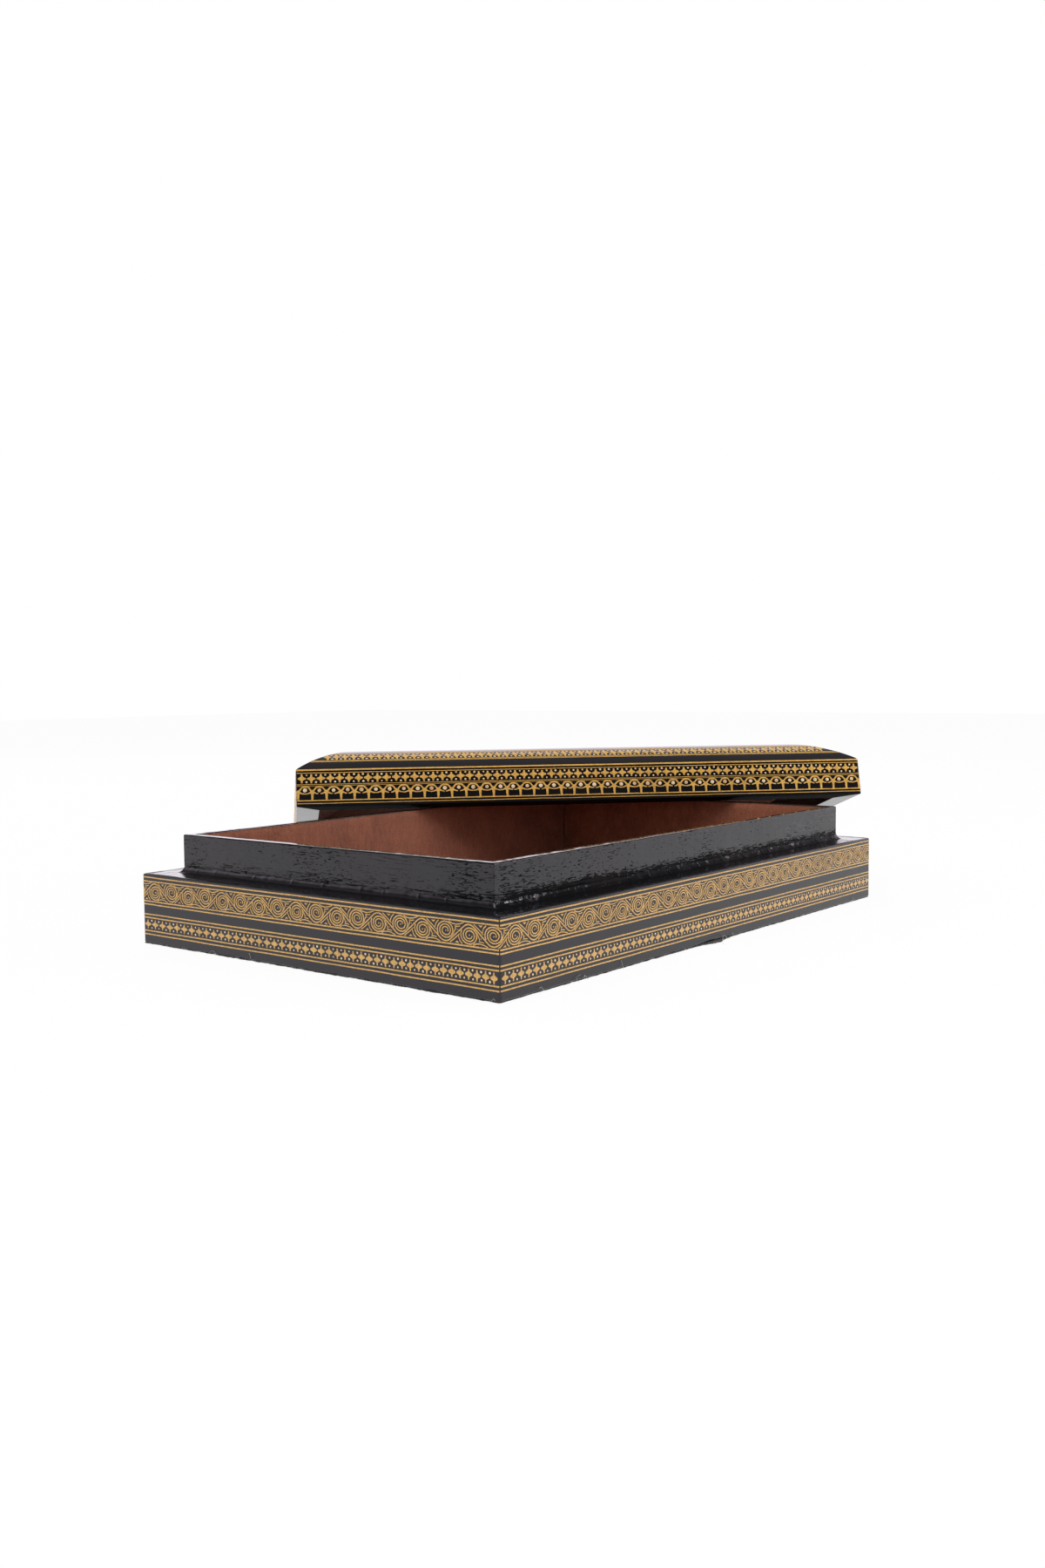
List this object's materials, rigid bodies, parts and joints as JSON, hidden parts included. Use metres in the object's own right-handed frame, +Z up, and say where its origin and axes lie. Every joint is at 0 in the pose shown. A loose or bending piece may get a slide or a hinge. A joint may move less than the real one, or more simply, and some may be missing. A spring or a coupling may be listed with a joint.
{
  "type": "lidded box",
  "caption": "Low rectangular lacquered papier-mache box with an inner collar, velvet lining and a domed lift-off lid, shown opened with the lid leaning across the far corner.",
  "frame": {"origin": "centre of the base's underside, on the surface it stands on", "axes": "+X along the base's long side, +Y along its short side away from the front, +Z up"},
  "size_m": [0.4721, 0.3731, 0.0773],
  "materials": {
    "black_lacquer": "gloss",
    "pasteboard": "matte",
    "velvet": "matte",
    "underside_cloth": "matte",
    "gold_paint": "satin",
    "cream_paint": "satin"
  },
  "bodies": {
    "base": {"underside_felt": "underside_cloth", "bottom_board": "pasteboard", "front_wall": "black_lacquer", "back_wall": "black_lacquer", "left_wall": "black_lacquer", "right_wall": "black_lacquer", "collar_front": "black_lacquer", "collar_back": "black_lacquer", "collar_left": "black_lacquer", "collar_right": "black_lacquer", "floor_lining": "velvet", "lining_front": "velvet", "lining_back": "velvet", "lining_left": "velvet", "lining_right": "velvet"},
    "lid": {"lid_top": "black_lacquer", "lid_lining": "velvet", "lid_front_wall": "black_lacquer", "lid_back_wall": "black_lacquer", "lid_left_wall": "black_lacquer", "lid_right_wall": "black_lacquer"}
  },
  "joints": [
    {"name": "lid_lift", "type": "slide", "parent": "base", "child": "lid", "axis": [0, 0, 1], "range_m": [0, 0.08]}
  ]
}
